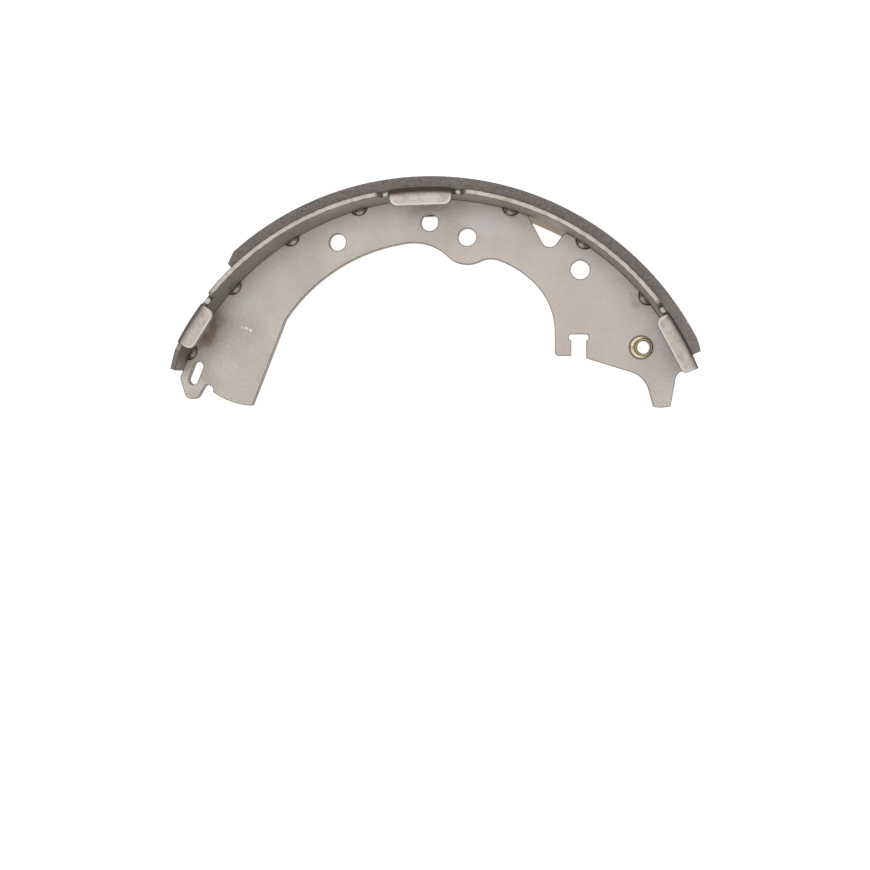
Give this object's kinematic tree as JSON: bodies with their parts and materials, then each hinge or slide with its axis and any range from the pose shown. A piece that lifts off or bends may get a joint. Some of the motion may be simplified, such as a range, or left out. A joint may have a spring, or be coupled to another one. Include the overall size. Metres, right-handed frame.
{
  "type": "brake shoe",
  "caption": "Curved drum brake shoe: T-section steel table and web with guide tabs, a bonded friction lining, spring holes and a flanged pivot bush.",
  "frame": {"origin": "centre of the hold-down hole, in the middle of the web's thickness", "axes": "+Z along the drum's axis, to the side with the three guide tabs that face the backing plate; +Y from the drum's axis to the table, parallel to the line through the middle of the table; +X towards the heel end, where the pivot bush is"},
  "size_m": [0.2281, 0.0983, 0.0574],
  "materials": {
    "table_steel": "bare pressed steel, phosphated, matt",
    "web_steel": "bare blanked steel, phosphated, matt",
    "friction_lining": "moulded and ground friction material, matt",
    "yellow_zinc": "turned steel, yellow-chromated zinc",
    "weld_metal": "weld metal, dull"
  },
  "bodies": {
    "root": {"table": "table_steel", "web": "web_steel", "lining": "friction_lining", "pivot_bush": "yellow_zinc", "weld_beads": "weld_metal"}
  },
  "joints": []
}
